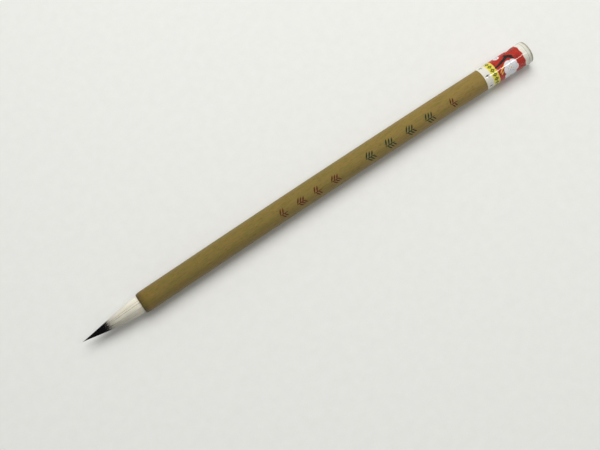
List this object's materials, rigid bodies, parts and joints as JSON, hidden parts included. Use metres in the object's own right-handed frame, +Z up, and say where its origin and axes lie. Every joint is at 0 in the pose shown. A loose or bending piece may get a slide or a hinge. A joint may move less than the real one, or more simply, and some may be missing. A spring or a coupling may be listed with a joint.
{
  "type": "calligraphy brush",
  "caption": "Small-script writing brush: round bamboo handle with inlaid sprigs, printed band under clear film, and a pointed tuft of white hair with a black tip that bends.",
  "frame": {"origin": "on the surface the brush lies on, under the middle of its whole length, below the handle's axis", "axes": "+X along the handle's axis from the hair point towards the label end, +Z up from the surface it lies on, +Y to the side away from the engraved row"},
  "size_m": [0.2, 0.009, 0.0091],
  "materials": {
    "bamboo": "scraped and lightly waxed bamboo skin, satin",
    "green_pigment": "matte mineral paint",
    "russet_pigment": "matte mineral paint",
    "printed_paper": "coated printing paper",
    "clear_film": "clear glossy shrink film",
    "glue": "amber glue",
    "rosin": "melted rosin",
    "thread": "twisted ramie thread",
    "white_hair": "fine straight goat hair with a soft sheen",
    "core_hair": "grey-brown root half of the core hair",
    "black_hair": "black glossy tips of the core hair"
  },
  "bodies": {
    "handle": {"bamboo_shaft": "bamboo", "green_pigment": "green_pigment", "russet_pigment": "russet_pigment", "label_paper": "printed_paper", "clear_film": "clear_film", "socket_glue": "glue", "rosin_button": "rosin", "binding_thread": "thread", "cover_hair_root": "white_hair", "core_hair_root": "core_hair"},
    "belly": {"cover_hair_belly": "white_hair", "core_hair_belly": "core_hair"},
    "point": {"core_hair_point": "black_hair"}
  },
  "joints": [
    {"name": "belly_bend", "type": "hinge", "parent": "handle", "child": "belly", "pos_m": [-0.0774, 0, 0.00453], "axis": [0, 0, 1], "range_deg": [-30, 30], "stiffness_Nm_per_rad": 0.001},
    {"name": "point_bend", "type": "hinge", "parent": "belly", "child": "point", "pos_m": [-0.0895, 0, 0.00453], "axis": [0, 0, 1], "range_deg": [-40, 40], "stiffness_Nm_per_rad": 0.0002}
  ]
}
